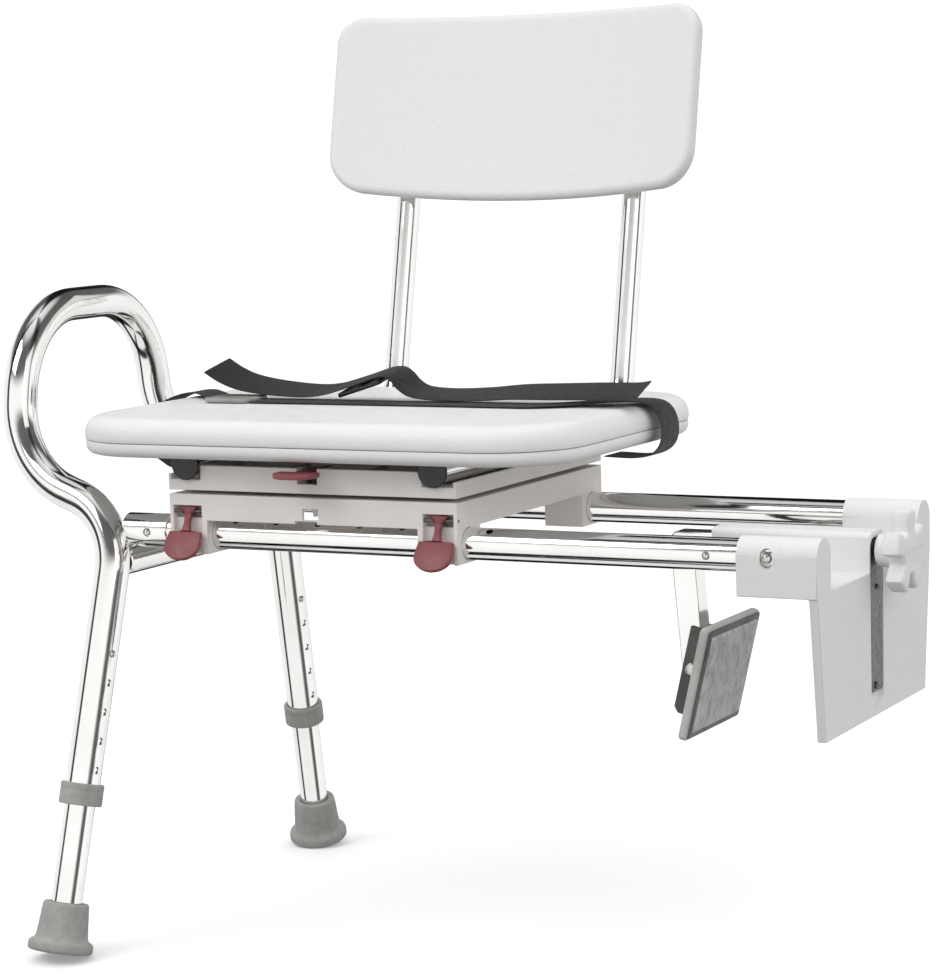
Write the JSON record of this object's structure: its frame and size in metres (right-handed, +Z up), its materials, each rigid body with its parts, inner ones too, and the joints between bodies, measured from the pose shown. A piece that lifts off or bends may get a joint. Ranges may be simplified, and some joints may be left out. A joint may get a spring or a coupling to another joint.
{
  "type": "bath transfer bench",
  "caption": "Bath transfer bench: swivelling seat with backrest slides on chrome rails between splayed legs with an arm loop and a bath-wall clamp; lap belt and red lock levers.",
  "frame": {"origin": "centre of the footprint of the whole bench, at the height of the lowest edge of its feet", "axes": "+X from the legs along the rails to the bath clamp, +Y from the front of the seat to its back, +Z up"},
  "size_m": [0.8618, 0.6014, 0.8648],
  "materials": {
    "chrome": "polished bright plating",
    "steel": "satin zinc-plated steel",
    "strap_steel": "dull dark steel strip",
    "tray_plastic": "warm white moulded plastic, faint grain",
    "mount_plastic": "pale grey-white moulded plastic, fine grain",
    "seat_plastic": "pale grey-white moulded plastic with a fine leather-like grain",
    "grey_rubber": "mid-grey matt rubber",
    "black_plastic": "black moulded plastic",
    "grey_plastic": "grey moulded plastic",
    "red_plastic": "dull red moulded plastic, semi-gloss",
    "webbing": "black woven webbing",
    "pad_dark": "dark grey moulded plastic",
    "pad_light": "light grey moulded plastic",
    "pad_rubber": "scuffed light grey grip pad"
  },
  "bodies": {
    "frame": {"arm_leg_tube": "chrome", "leg_cross_tube": "chrome", "front_rail_stub": "chrome", "rear_rail_stub": "chrome", "front_rail": "chrome", "rear_rail": "chrome", "front_leg_collar": "grey_rubber", "rear_leg_collar": "grey_rubber", "tub_mount_body": "mount_plastic", "slot_strap": "strap_steel", "strap_screw_upper": "strap_steel", "strap_screw_lower": "strap_steel"},
    "front_leg": {"front_leg_tube": "chrome", "front_foot": "grey_rubber"},
    "rear_leg": {"rear_leg_tube": "chrome", "rear_foot": "grey_rubber"},
    "knob": {"clamp_knob": "mount_plastic", "clamp_screw": "steel"},
    "clamp": {"clamp_arm": "chrome", "clamp_nut": "steel", "pad_pivot_pin": "steel"},
    "pad": {"pad_bracket": "pad_dark", "pad_frame": "pad_light", "pad_face": "pad_rubber"},
    "carriage": {"lower_tray": "tray_plastic", "swivel_bearing_lower_race": "steel", "swivel_centre_bolt": "steel", "lever_pivot_pin_left": "strap_steel", "lever_pivot_pin_right": "strap_steel"},
    "slide_lever_left": {"slide_lock_lever_left": "red_plastic"},
    "slide_lever_right": {"slide_lock_lever_right": "red_plastic"},
    "slide_pin_left": {"slide_lock_pin_left": "steel"},
    "slide_pin_right": {"slide_lock_pin_right": "steel"},
    "seat": {"upper_tray": "tray_plastic", "swivel_bearing_upper_race": "steel", "swivel_lever_pivot_pin": "strap_steel", "seat_top": "seat_plastic", "seat_base": "seat_plastic", "back_post_left": "chrome", "back_post_right": "chrome", "post_plug_left": "black_plastic", "post_plug_right": "black_plastic", "backrest_front": "seat_plastic", "backrest_rear": "seat_plastic", "belt_strap_left": "webbing", "belt_strap_right": "webbing", "belt_strap_loose": "webbing", "belt_buckle": "grey_plastic", "belt_adjuster": "black_plastic"},
    "swivel_lever": {"swivel_lock_lever": "red_plastic"},
    "swivel_pin": {"swivel_lock_pin": "steel"},
    "front_leg_button": {"front_leg_button": "steel"},
    "front_rail_button": {"front_rail_button": "steel"},
    "front_stop_button": {"front_stop_button": "steel"},
    "front_sleeve_button": {"front_sleeve_button": "steel"},
    "rear_leg_button": {"rear_leg_button": "steel"},
    "rear_rail_button": {"rear_rail_button": "steel"},
    "rear_stop_button": {"rear_stop_button": "steel"},
    "rear_sleeve_button": {"rear_sleeve_button": "steel"}
  },
  "joints": [
    {"name": "seat_slide", "type": "slide", "parent": "frame", "child": "carriage", "axis": [1, 0, 0], "range_m": [0, 0.215]},
    {"name": "seat_swivel", "type": "hinge", "parent": "carriage", "child": "seat", "pos_m": [-0.08006, -0.03185, 0.42527], "axis": [0, 0, 1], "range_deg": [-90, 90]},
    {"name": "slide_lock_left", "type": "hinge", "parent": "carriage", "child": "slide_lever_left", "pos_m": [-0.20906, -0.18185, 0.40727], "axis": [1, 0, 0], "range_deg": [-25, 0]},
    {"name": "slide_lock_left_pin", "type": "slide", "parent": "carriage", "child": "slide_pin_left", "axis": [0, 0.5, -0.866], "range_m": [0, 0.0036]},
    {"name": "slide_lock_right", "type": "hinge", "parent": "carriage", "child": "slide_lever_right", "pos_m": [0.04894, -0.18185, 0.40727], "axis": [1, 0, 0], "range_deg": [-25, 0]},
    {"name": "slide_lock_right_pin", "type": "slide", "parent": "carriage", "child": "slide_pin_right", "axis": [0, 0.5, -0.866], "range_m": [0, 0.0036]},
    {"name": "swivel_lock", "type": "hinge", "parent": "seat", "child": "swivel_lever", "pos_m": [-0.08006, -0.17485, 0.44657], "axis": [1, 0, 0], "range_deg": [-10, 0]},
    {"name": "swivel_lock_pin", "type": "slide", "parent": "seat", "child": "swivel_pin", "axis": [0, 0, -1], "range_m": [0, 0.004]},
    {"name": "clamp_travel", "type": "slide", "parent": "frame", "child": "clamp", "axis": [1, 0, 0], "range_m": [-0.01, 0.04]},
    {"name": "clamp_knob_turn", "type": "hinge", "parent": "frame", "child": "knob", "pos_m": [0.39594, -0.03185, 0.37427], "axis": [1, 0, 0], "range_deg": [-4860, 1215]},
    {"name": "pad_tilt", "type": "hinge", "parent": "clamp", "child": "pad", "pos_m": [0.22844, -0.03185, 0.26177], "axis": [0, 1, 0], "range_deg": [-16, 8]},
    {"name": "front_leg_extend", "type": "slide", "parent": "frame", "child": "front_leg", "axis": [-0.0512, -0.2404, -0.9693], "range_m": [0, 0.108]},
    {"name": "front_leg_button_press", "type": "slide", "parent": "frame", "child": "front_leg_button", "axis": [-0.9708, 0.2399, -0.0082], "range_m": [0, 0.0025], "stiffness_N_per_m": 400},
    {"name": "front_rail_button_press", "type": "slide", "parent": "frame", "child": "front_rail_button", "axis": [0, 1, 0], "range_m": [0, 0.0025], "stiffness_N_per_m": 400},
    {"name": "front_stop_button_press", "type": "slide", "parent": "frame", "child": "front_stop_button", "axis": [0, 1, 0], "range_m": [0, 0.0025], "stiffness_N_per_m": 400},
    {"name": "front_sleeve_button_press", "type": "slide", "parent": "frame", "child": "front_sleeve_button", "axis": [0, 1, 0], "range_m": [0, 0.0035], "stiffness_N_per_m": 400},
    {"name": "rear_leg_extend", "type": "slide", "parent": "frame", "child": "rear_leg", "axis": [-0.0512, 0.2404, -0.9693], "range_m": [0, 0.108]},
    {"name": "rear_leg_button_press", "type": "slide", "parent": "frame", "child": "rear_leg_button", "axis": [-0.9704, 0.2173, 0.1051], "range_m": [0, 0.0025], "stiffness_N_per_m": 400},
    {"name": "rear_rail_button_press", "type": "slide", "parent": "frame", "child": "rear_rail_button", "axis": [0, -1, 0], "range_m": [0, 0.0025], "stiffness_N_per_m": 400},
    {"name": "rear_stop_button_press", "type": "slide", "parent": "frame", "child": "rear_stop_button", "axis": [0, -1, 0], "range_m": [0, 0.0025], "stiffness_N_per_m": 400},
    {"name": "rear_sleeve_button_press", "type": "slide", "parent": "frame", "child": "rear_sleeve_button", "axis": [0, -1, 0], "range_m": [0, 0.0035], "stiffness_N_per_m": 400}
  ],
  "couplings": [
    {"joint": "slide_lock_left_pin", "follows": "slide_lock_left", "m_per_rad": -0.0082},
    {"joint": "slide_lock_right_pin", "follows": "slide_lock_right", "m_per_rad": -0.0082},
    {"joint": "swivel_lock_pin", "follows": "swivel_lock", "m_per_rad": -0.0228},
    {"joint": "clamp_knob_turn", "follows": "clamp_travel", "rad_per_m": -2094.4}
  ]
}
